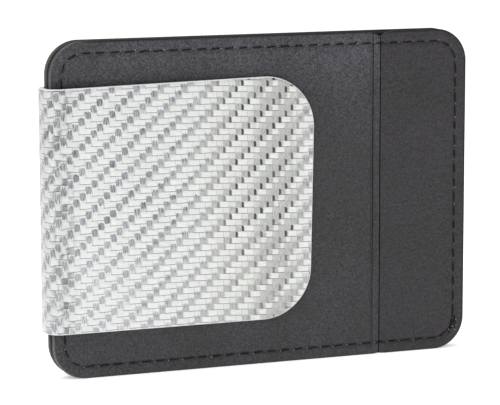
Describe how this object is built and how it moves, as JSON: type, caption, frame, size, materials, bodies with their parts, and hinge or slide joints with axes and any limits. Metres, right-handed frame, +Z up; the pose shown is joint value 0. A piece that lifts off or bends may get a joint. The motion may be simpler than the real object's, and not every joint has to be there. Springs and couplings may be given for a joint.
{
  "type": "money clip",
  "caption": "Slim leather card case with a springy C-shaped composite clip wrapped round one edge to hold folded banknotes.",
  "frame": {"origin": "bottom centre of the whole object's box: the case stands upright on its long bottom edge", "axes": "+Z up along the case's height, +X along the case's length towards the thumb strip, -Y out of the front, where the clip's blade is"},
  "size_m": [0.1016, 0.0098, 0.075],
  "materials": {
    "cover_leather": "smooth black leather with fine grain, satin",
    "lining": "thin matt lining",
    "filler": "dyed bonded leather strip",
    "board": "leather-fibre stiffener board",
    "interlining": "soft non-woven sheet",
    "thread": "waxed black sewing thread",
    "twill_laminate": "aluminised glass twill under clear gloss epoxy",
    "laminate_core": "plain glass epoxy laminate"
  },
  "bodies": {
    "case": {"pocket_face_leather": "cover_leather", "thumb_strip_leather": "cover_leather", "rear_leather": "cover_leather", "clip_sleeve_leather": "cover_leather", "pocket_face_lining": "lining", "thumb_strip_lining": "lining", "pocket_back_lining": "lining", "clip_sleeve_lining": "lining", "pocket_filler_strips": "filler", "stiffener_board": "board", "rear_interlining": "interlining", "front_seam_stitches": "thread", "front_lock_stitches": "thread", "rear_seam_stitches": "thread", "sleeve_seam_stitches": "thread", "clip_rear_outer_twill": "twill_laminate", "clip_rear_core": "laminate_core", "clip_rear_inner_twill": "twill_laminate"},
    "clip_blade": {"clip_blade_outer_twill": "twill_laminate", "clip_blade_core": "laminate_core", "clip_blade_inner_twill": "twill_laminate"}
  },
  "joints": [
    {"name": "clip_spring", "type": "hinge", "parent": "case", "child": "clip_blade", "pos_m": [-0.04584, -0.00487, 0.0378], "axis": [0, 0, -1], "range_deg": [0, 8], "stiffness_Nm_per_rad": 6, "springref_deg": -1.15}
  ]
}
